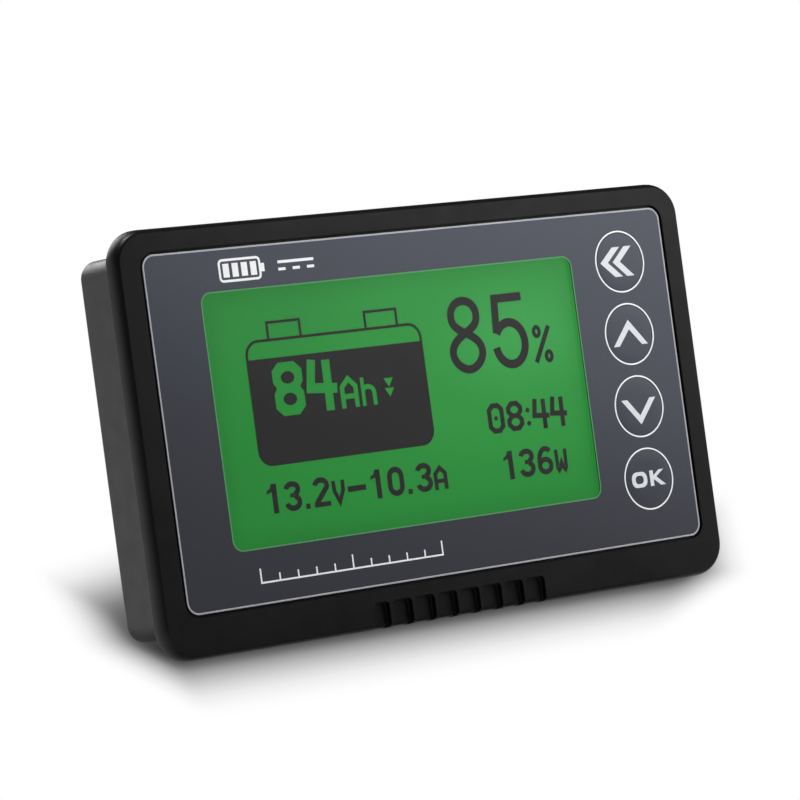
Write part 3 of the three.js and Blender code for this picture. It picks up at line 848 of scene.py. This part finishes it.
def make_keys():
    marks = {
        "back": back_mark,
        "up": lambda x, z: arrow_mark(x, z, tip=2.1, hollow=0.7, foot=-1.7),
        "down": lambda x, z: arrow_mark(x, z, tip=-2.68, hollow=-1.37, foot=1.12),
        "ok": ok_mark,
    }
    for name in KEY_NAMES:
        x, z = axis(KEYS[name])
        front, edge = KEYS[name].front, KEY.edge
        profile = [(KEY_DOME.pole, front - KEY_DOME.height)]
        profile.append((KEY.cap * KEY_DOME.shoulder, front - KEY_DOME.shoulder_height))
        profile.append((KEY.cap - edge, front))
        for across, up in turns(30, 91, 30):
            profile.append((KEY.cap - edge * (1 - up), front + edge * (1 - across)))
        profile += [(KEY.cap, KEY.collar_front), (KEY.collar, KEY.collar_front)]
        profile += [(KEY.collar, KEY.back)]
        cap = smooth(turned("key_cap_" + name, x, z, profile, 72))
        body = name + "_key"
        finish_piece(cap, "key_print", "key_" + name, body=body)
        mark = sheet("key_mark_" + name, marks[name](x, z), front - INK - SINK, front + INK)
        finish_piece(mark, "print_white", body=body, look="mark_print")


# ---- Marks printed on the overlay ----


def battery_mark(x, z, width, height):
    """A lying battery with its terminal and four charge bars."""
    line, corner, gap, nub, count = 0.34, 0.5, 0.5, 0.75, 4
    case = stroke(rounded(x, x + width, z, z + height, corner, 4), line, closed=True)
    terminal = block(x + width + line / 2, x + width + nub, z + height * 0.3, z + height * 0.7)
    pitch = (width - 0.6) / count
    lefts = [x + 0.55 + i * pitch for i in range(count)]
    bars = [block(left, left + pitch - gap, z + gap, z + height - gap) for left in lefts]
    return [case, terminal] + bars


def direct_current_mark(x, z, width):
    """A whole bar over a broken one."""
    dash = width / 5
    marks = [block(x, x + width, z + 0.55, z + 0.95)]
    for left in (x, x + 2 * dash, x + 4 * dash):
        marks.append(block(left, left + dash, z - 0.45, z - 0.05))
    return marks


def charge_scale(x0, x1, z):
    """A thin scale with a tick for each tenth and longer ones at its ends and middle."""
    line, long, short, tenths = 0.24, 2.1, 1.2, 10
    marks = [block(x0, x1, z, z + line)]
    for i in range(tenths + 1):
        height = short if i % 5 else long
        tick = x0 + (x1 - x0 - line) * i / tenths
        marks.append(block(tick, tick + line, z, z + height))
    return marks


def make_overlay_marks():
    left, top = LENS.x0 + MARKS.left, LENS.z1 + MARKS.above
    along_row, above_row, width = MARKS.current
    length, margin = MARKS.scale
    symbols = battery_mark(left, top, *MARKS.battery)
    symbols += direct_current_mark(left + along_row, top + above_row, width)
    symbols += charge_scale(left, left + length, PLATE.z0 + margin)
    marks = sheet("overlay_marks", symbols, PLATE.front - INK, PLATE.front + INK)
    finish_piece(marks, "print_white")


# ---- Display ----
# Glyphs are drawn from their own lower left corner and are then moved to their place on the display.


def wide_eight():
    """A bold eight with cut corners and oval holes, 5 wide and 7.4 high."""
    right = [(3.8, 0), (4.95, 1.1), (4.95, 3.1), (4.4, 3.85), (4.95, 4.6), (4.95, 6.3), (3.8, 7.4)]
    left = [(4.95 - x, z) for x, z in reversed(right)]
    return [Shape(right + left, [loop(2.5, 5.25, 1.12, 0.86, 28), loop(2.5, 2.25, 1.12, 0.86, 28)])]


def four(height, weight):
    """A four with a leaning arm that crosses its stem."""
    arm = [(0.185, 0.985), (0.1, 0.455), (0.7, 0.405)]
    stem = [(0.49, 0), (0.505, 0.955)]
    return [stroke([(x * height, z * height) for x, z in path], weight) for path in (arm, stem)]


def peaked_a(width, height, weight):
    """A capital A with upright legs and a peaked top."""
    half = weight / 2
    shoulder, peak, bar = height * 0.66, height - half * 1.1, height * 0.36
    legs = [(half, 0), (half, shoulder), (width / 2, peak), (width - half, shoulder), (width - half, 0)]
    return [stroke(legs, weight), stroke([(half, bar), (width - half, bar)], weight * 0.95)]


def small_h():
    arch = [(0.3, 2.3)] + arc(1.15, 1.75, 1.05, 0.92, 115, 0, 8) + [(2.2, 0)]
    return [stroke([(0.32, 0), (0.32, 4.0)], 0.62), stroke(arch, 0.68)]


def small_signs():
    """The signs of the display's two lower lines."""
    pen = 0.78
    flag = [(0.9, 4.1)] + arc(0.1, 4.2, 0.85, 0.95, -25, -85, 4) + [(0.1, 2.75), (0.95, 3.0)]
    two = arc(1.42, 2.92, 1.0, 0.8, 172, -20, 16) + [(0.55, 0.66), (0.45, 0.35)]
    three = (arc(1.42, 2.98, 0.98, 0.74, 172, -70, 20), arc(1.4, 1.22, 1.05, 0.84, 72, -172, 22))
    six = arc(1.55, 1.9, 1.15, 1.82, 185, 92, 12) + arc(1.5, 3.0, 0.95, 0.72, 80, 22, 6)
    v = [(0.33, 3.35), (0.4, 1.9), (1.12, 0.35), (1.85, 1.9), (1.92, 3.35)]
    w = [(0.33, 3.35), (0.38, 0.7), (0.58, 0.35), (0.8, 0.6)]
    w += [(1.15, 1.45)] + [(2.3 - x, z) for x, z in reversed(w)]
    return {
        "0": [stroke(rounded(0.4, 2.45, 0.4, 3.72, 1.0, 8), 0.8, closed=True)],
        "1": [solid([(0.95, 0), (1.78, 0), (1.78, 4.1)] + flag)],
        "2": [stroke(two, pen), block(0.05, 2.78, 0, 0.68)],
        "3": [stroke(bow, pen) for bow in three] + [stroke([(1.05, 2.17), (1.7, 2.17)], 0.6)],
        "6": [stroke(loop(1.42, 1.28, 1.02, 0.9, 32), 0.76, closed=True), stroke(six, 0.76)],
        "A": peaked_a(2.35, 3.45, 0.64),
        "V": [stroke(v, 0.62)],
        "W": [stroke(w, 0.6)],
        ".": [block(0, 0.72, 0, 0.72)],
        "-": [block(0, 3.1, 1.5, 2.3)],
    }


def clock_ring(width, height):
    """A ring with cut corners."""
    weight, cut = 0.74, 0.62
    half = weight / 2
    x0, x1, z0, z1 = half, width - half, half, height - half
    path = [(x0 + cut, z0), (x1 - cut, z0), (x1, z0 + cut), (x1, z1 - cut)]
    path += [(x1 - cut, z1), (x0 + cut, z1), (x0, z1 - cut), (x0, z0 + cut)]
    return stroke(path, weight, closed=True)


def tall_eight():
    """A tall thin eight: two loops that cross at its waist."""
    x, z = 3.3, 5.85
    shapes = []
    for wide, tall, level, rise in ((2.24, 4.62, 2.5, 1), (2.6, -5.22, -2.8, -1)):
        side, top = (x + wide, z + level), (x, z + tall)
        right = bezier((x, z), (x + 1.6, z + 0.75 * rise), (side[0], side[1] - 1.2 * rise), side)
        right += bezier(side, (side[0], side[1] + 1.25 * rise), (top[0] + 1.2, top[1]), top)
        left = [(2 * x - across, up) for across, up in reversed(right)]
        shapes.append(stroke(right + left, 1.22, closed=True))
    return shapes


def tall_five():
    bowl = arc(3.35, 3.67, 2.62, 3.03, 150, -172, 34)
    return [stroke([(6.25, 10.27), (1.4, 10.27), (1.06, 5.3)], 1.24), stroke(bowl, 1.26)]


def percent():
    rings = [stroke(loop(x, z, 0.5, 0.66, 20), 0.6, closed=True) for x, z in ((0.95, 4.75), (2.7, 1.05))]
    return rings + [stroke([(0.3, 0.3), (3.2, 5.4)], 0.74)]


def arranged(entries):
    """The shapes of (glyph, x, z) entries, each in its place."""
    return [shape for glyph, x, z in entries for shape in moved(glyph, x, z)]


def clock_reading():
    """The time, in a thinner hand."""
    zero = [clock_ring(2.95, 4.35), solid(loop(1.47, 2.17, 0.33, steps=16))]
    eight = [clock_ring(3.0, 2.55)] + moved([clock_ring(2.9, 2.5)], 0.05, 1.83)
    colon = [solid(loop(0.36, z, 0.36, steps=16)) for z in (0.75, 2.65)]
    clock = [(zero, 45.5, 11.3), (eight, 48.9, 11.3), (colon, 52.4, 11.4)]
    return arranged(clock + [(four(4.5, 0.76), x, 11.1) for x in (53.45, 56.7)])


def layer(name, shapes, minus=()):
    """A dark part of the display's picture."""
    origin = (LENS.x0 - LENS_GAP + PICTURE_SHIFT, LENS.z0 - LENS_GAP)
    shapes, minus = moved(shapes, *origin), moved(minus, *origin)
    made = sheet(name, shapes, SEGMENT.front, SEGMENT.back, minus)
    finish_piece(made, "lcd_segment")


def battery_picture():
    """A case with two terminals, drawn as lines, and its charge, drawn solid."""
    foot, top, line, corner = TERMINAL.z0, TERMINAL.z1, CASE.line, CASE.corner
    shapes = [Shape(around(CASE, 0, corner), [around(CASE, -line, corner - line)])]
    for x in TERMINAL.places:
        left, right = x + TERMINAL.x0, x + TERMINAL.x1
        shapes.append(stroke([(left, foot), (left, top), (right, top), (right, foot)], line))
    shapes.append(solid(rounded(CASE.x0, CASE.x1, CASE.z0, CHARGE.z1, corner)))
    return shapes + [block(CASE.x0, CASE.x1, CHARGE.z0, CHARGE.z1)]


def make_display():
    """The lit panel and the dark picture on it, which is a made-up reading."""
    panel = soften(prism("lcd_panel", around(GLASS, 0, 0.3, 4), GLASS.front, GLASS.back), 0.08)
    finish_piece(smooth(panel), "lcd_panel", "lcd_glass")

    readout = [(wide_eight(), 9.85, 17.6), (four(7.4, 1.38), 15.2, 17.6)]
    readout += [(peaked_a(3.05, 4.5, 0.76), 20.75, 17.6), (small_h(), 24.3, 17.6)]
    triangle = solid([(0, 1.25), (0.8, 0), (1.6, 1.25)])
    readout += [([triangle], 28.35, z) for z in (19.85, 18.45)]
    layer("lcd_battery", battery_picture(), arranged(readout))
    signs, level = small_signs(), 4.5
    volts = zip("13.2V-10.3A", (6.3, 9.2, 12.6, 14.0, 17.2, 19.85, 23.75, 26.7, 30.05, 31.6, 34.7))
    layer("lcd_volts_and_amps", arranged([(signs[sign], x, level) for sign, x in volts]))
    watts = zip("136W", (47.15, 50.0, 53.3, 56.5))
    layer("lcd_watts", arranged([(signs[sign], x, level) for sign, x in watts]))
    layer("lcd_clock", clock_reading())
    share = [(tall_eight(), 40.3, 20.25), (tall_five(), 48.0, 20.25), (percent(), 55.3, 20.4)]
    layer("lcd_charge_percent", arranged(share))


# ---- Rear housing ----


def make_housing():
    inside = around(HOUSING, -WALL, HOUSING_CORNER - WALL)
    outside = around(HOUSING, 0, HOUSING_CORNER)
    front = HOUSING.front
    rings = [at_depth(inside, REAR - WALL), at_depth(inside, front), at_depth(outside, front)]
    for across, up in turns(0, 91, 9):
        inset = HOUSING_EDGE * (1 - across)
        rings.append(inset_ring(HOUSING, HOUSING_CORNER, inset, REAR - HOUSING_EDGE * (1 - up)))
    housing = skin("housing_shell", rings)
    radius, bore, sink = COLUMN.radius, COLUMN.bore, COLUMN.sink
    column = [(radius, COLUMN.front), (radius, REAR - COLUMN.root)]
    combine(housing, [turned("column", x, z, column) for x, z in CASE_SCREWS], "UNION")
    inner, outer = REAR - WALL - PAST, REAR + PAST
    cuts = []
    for x, z in CASE_SCREWS:
        cuts.append(turned("bore", x, z, [(bore, BORE_FRONT), (bore, outer)], 32))
        cuts.append(turned("sink", x, z, [(sink, REAR - COLUMN.sink_depth), (sink, outer)]))
    cuts.append(prism("mouth", around(SOCKET, SOCKET_MOUTH.gap, SOCKET_MOUTH.corner, 4), inner, outer))
    recess = around(LABEL, LABEL_RECESS.gap, LABEL_RECESS.corner)
    cuts.append(prism("recess", recess, REAR - LABEL_RECESS.depth, outer))
    long, half = VENT.length / 2, VENT.width / 2
    for i in range(VENT.count):
        z = VENT.z + (i - (VENT.count - 1) / 2) * VENT.pitch
        slot = rounded(VENT.x - long, VENT.x + long, z - half, z + half, half - SINK, 6)
        cuts.append(prism("vent", slot, inner, outer))
    combine(housing, cuts, "DIFFERENCE")
    finish_piece(smooth(soften(housing, HOUSING_SOFT)), "housing_plastic", "rear_housing")


def make_label():
    """A blank film label with a frame and empty rows."""
    inset, line, margin, half = LABEL_PRINT.inset, LABEL_PRINT.line, LABEL_PRINT.margin, LABEL_PRINT.row
    film = sheet("label_film", [solid(around(LABEL, 0, LABEL_PRINT.corner))], LABEL.front, LABEL.back)
    finish_piece(smooth(film), "label_film", "rating_label")
    lines = [Shape(around(LABEL, -inset, inset), [around(LABEL, -inset - line, inset - line)])]
    for i in range(1, LABEL_PRINT.rows + 1):
        z = LABEL.z0 + i * (LABEL.z1 - LABEL.z0) / (LABEL_PRINT.rows + 1)
        lines.append(block(LABEL.x0 + margin, LABEL.x1 - margin, z - half, z + half))
    rows = sheet("label_rows", lines, LABEL.back - SINK, LABEL.back + INK)
    finish_piece(rows, "label_film", look="label_ink")


def screw_profile(box, head, shank):
    """A screw's outline from its tip over the thread to its crown."""
    seat, side, core = box.back - SCREW.head, SCREW.side, shank * THREAD.core
    profile = [(shank * 0.2, box.front), (shank * 0.55, box.front + 0.35)]
    depth = box.front + THREAD.start
    while depth < seat - SCREW.thread_end:
        crest = depth + THREAD.crest
        profile += [(core, depth), (shank, crest), (core, depth + 2 * THREAD.crest)]
        depth += THREAD.pitch
    profile += [(shank * 0.85, seat - 0.1), (shank * 0.9, seat), (head - SCREW.rim, seat)]
    profile += [(head, seat + SCREW.rim), (head, seat + side)]
    for across, up in turns(15, 91, 15):
        radius = head * (SCREW.flat + (1 - SCREW.flat) * across)
        profile.append((radius, seat + side + SCREW.crown * up))
    return profile


def make_screws():
    """Pan-head cross-recess screws with ridged shanks."""
    nodes = [("case_screw_%d" % (i + 1), 0.8) for i in range(4)]
    nodes += [("board_screw_%d" % (i + 1), 0.65) for i in range(2)]
    for node, shank in nodes:
        box = area(node)
        (x, z), head = axis(box), (box.x1 - box.x0) / 2
        made = turned("screw_" + node, x, z, screw_profile(box, head, shank), 40)
        foot, top = box.back - SCREW.head + CROSS.foot, box.back + 0.05
        arm, width, taper = head * CROSS.arm, CROSS.width, CROSS.taper
        slots = []
        for wide, tall in ((arm, width), (width, arm)):
            deep = rectangle(x - wide * taper, x + wide * taper, z - tall * taper, z + tall * taper)
            open_end = rectangle(x - wide, x + wide, z - tall, z + tall)
            slots.append(skin("slot", [at_depth(deep, foot), at_depth(open_end, top)]))
        combine(made, slots, "DIFFERENCE")
        finish_piece(smooth(made), "screw_steel", node)


# ---- Pieces that keep their CAD shape ----


def make_copies():
    """Every other node as a copy with fine rounded edges and smooth curved sides."""
    edge, limit = 0.07, 40
    slots = {part["node"]: part["material_slot"] for part in frame["record"]["subparts"]}
    done = {n for made in bpy.data.objects for n in made.get("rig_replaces", [])}
    for node, original in frame["nodes"].items():
        if node in done:
            continue
        made = new_object(node + "_fine", original.data.copy())
        soften(made, edge, 2, limit)
        finish_piece(smooth(made, limit), slots[node], node, body=original["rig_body"])


# ---- Stage ----

# The soft shadow round the object, painted on the floor. Each side is a constant and a slope across the
# floor, which give how far inside that side a place lies, in millimetres of the front side's fade. The
# least sets the darkness.
SHADOW_SIDES = (
    (28, (0, 1, 0)),
    (179.4, (3, -1.3, 0)),
    (167, (3, -0.43, 0)),
    (142, (-2.5, 1.95, 0)),
    (97.6, (-1.6, 2.7, 0)),
    (56.5, (-0.3, -0.6, 0)),
    (74, (0.44, -0.95, 0)),
    (29, (0, -0.12, 0)),
)
SHADOW_BLEND = 8
SHADOW_REACH = 28
SHADOW_FADE = [(0.0, 1.0), (0.125, 0.98), (0.25, 0.92), (0.375, 0.84), (0.5, 0.71)]
SHADOW_FADE += [(0.64, 0.54), (0.79, 0.34), (0.9, 0.16), (1.0, 0.035)]
# How much paler the shadow is for light that comes off the floor than for the viewer.
SHADOW_BOUNCE = 0.12
# The floor's light on the object, by the distance from it in metres. The viewer sees it white throughout.
SWEEP = [(0.38, 1.0), (0.5, 0.1)]


def floor_material():
    """White paper that gives off its own light, with the object's soft shadow painted on it. It is clear
    from below.
    """
    made = bpy.data.materials.new("studio_floor")
    made.use_nodes = True
    tree = made.node_tree
    tree.nodes.clear()
    inside = nearest_side(tree, SHADOW_SIDES, SHADOW_BLEND)
    share = add(tree, "MapRange", Value=inside, From_Max=SHADOW_REACH).outputs["Result"]
    shade = ramp(share, SHADOW_FADE)
    away = add(tree, "VectorMath", {"operation": "LENGTH"}, Vector=millimetres(tree, (MM, MM, MM)))
    sweep = ramp(away.outputs["Value"], SWEEP, "EASE")
    seen = add(tree, "LightPath").outputs["Is Camera Ray"]
    strength = blend_colours(seen, sweep, WHITE)
    bounced = blend_colours(SHADOW_BOUNCE, shade, WHITE)
    shade = blend_colours(seen, bounced, shade)
    light = blend_colours(1.0, shade, strength, "MULTIPLY")
    lit = add(tree, "Emission", Color=light, Strength=1.0).outputs["Emission"]
    clear = add(tree, "BsdfTransparent").outputs["BSDF"]
    under = add(tree, "NewGeometry").outputs["Backfacing"]
    sides = add(tree, "MixShader", Fac=under)
    feed(sides.inputs[1], lit)
    feed(sides.inputs[2], clear)
    add(tree, "OutputMaterial", Surface=sides.outputs["Shader"])
    return made


def make_floor():
    """The floor the object rests on. Its own x runs along the object and its own y to the back."""
    bm = bmesh.new()
    bmesh.ops.create_circle(bm, cap_ends=True, segments=96, radius=FLOOR_RADIUS * MM)
    floor = mesh_object("studio_floor", bm)
    foot = Vector((0, (FACE_Y + FLANGE) * MM, BEZEL.z0 * MM))
    floor.matrix_world = Matrix.Translation(foot) @ Matrix.Rotation(REST_TILT, 4, "X")
    floor.data.materials.append(floor_material())


def softbox(name, location, target, size, radiance, mirrored=True):
    """A rectangular light of some radiance. Unless mirrored, glossy surfaces don't show it."""
    light = bpy.data.lights.new(name, "AREA")
    light.shape = "RECTANGLE"
    light.size, light.size_y = size[0] * MM, size[1] * MM
    light.energy = radiance * math.pi * light.size * light.size_y
    made = new_object(name, light)
    made.location = Vector(location) * MM
    aim = Vector(target) * MM - made.location
    made.rotation_euler = aim.to_track_quat("-Z", "Y").to_euler()
    made.visible_camera = False
    made.visible_glossy = mirrored


def make_world():
    """White to the camera. For lighting it is white behind the object's left side and dark elsewhere."""
    world = bpy.data.worlds.new("studio")
    bpy.context.scene.world = world
    world.use_nodes = True
    tree = world.node_tree
    tree.nodes.clear()
    level = along(add(tree, "TexCoord").outputs["Generated"], (-0.62, 0.78, 0.05))
    room = ramp(level, [(0.84, 0.03), (0.99, 1.0)], "EASE")
    seen = add(tree, "LightPath").outputs["Is Camera Ray"]
    colour = blend_colours(seen, room, WHITE)
    background = add(tree, "Background", Color=colour, Strength=1.0)
    add(tree, "OutputWorld", Surface=background.outputs["Background"])


def make_lights():
    """Each light has its place, the point it faces, its width and height, and its radiance."""
    softbox("key", (40, -100, 165), (10, -7, 45), (170, 60), 6.2, mirrored=False)
    softbox("sheen", (190, -215, 120), (20, -7, 45), (190, 150), 2.7)
    softbox("overhead", (-80, 25, 330), (-45, 0, 50), (80, 80), 34.0)
    softbox("side", (250, -150, 28), (40, -7, 28), (60, 90), 2.4)
    softbox("behind", (-40, 350, 280), (-40, 5, 50), (230, 230), 4.2)


def make_camera():
    data = bpy.data.cameras.new("camera")
    data.lens = LENS_LENGTH
    data.sensor_width = SENSOR
    made = new_object("camera", data)
    heading = Matrix.Rotation(math.radians(-CAMERA.heading), 4, "Z")
    pitch = Matrix.Rotation(math.radians(90 + CAMERA.pitch), 4, "X")
    roll = Matrix.Rotation(math.radians(CAMERA.roll), 4, "Z")
    spot = Vector((CAMERA.x, CAMERA.y, CAMERA.z)) * MM
    made.matrix_world = Matrix.Translation(spot) @ heading @ pitch @ roll
    bpy.context.scene.camera = made


make_bezel()
make_overlay()
make_keys()
make_overlay_marks()
make_display()
make_housing()
make_label()
make_screws()
make_copies()
make_floor()
make_world()
make_lights()
make_camera()
bpy.context.scene.view_settings.view_transform = "Standard"
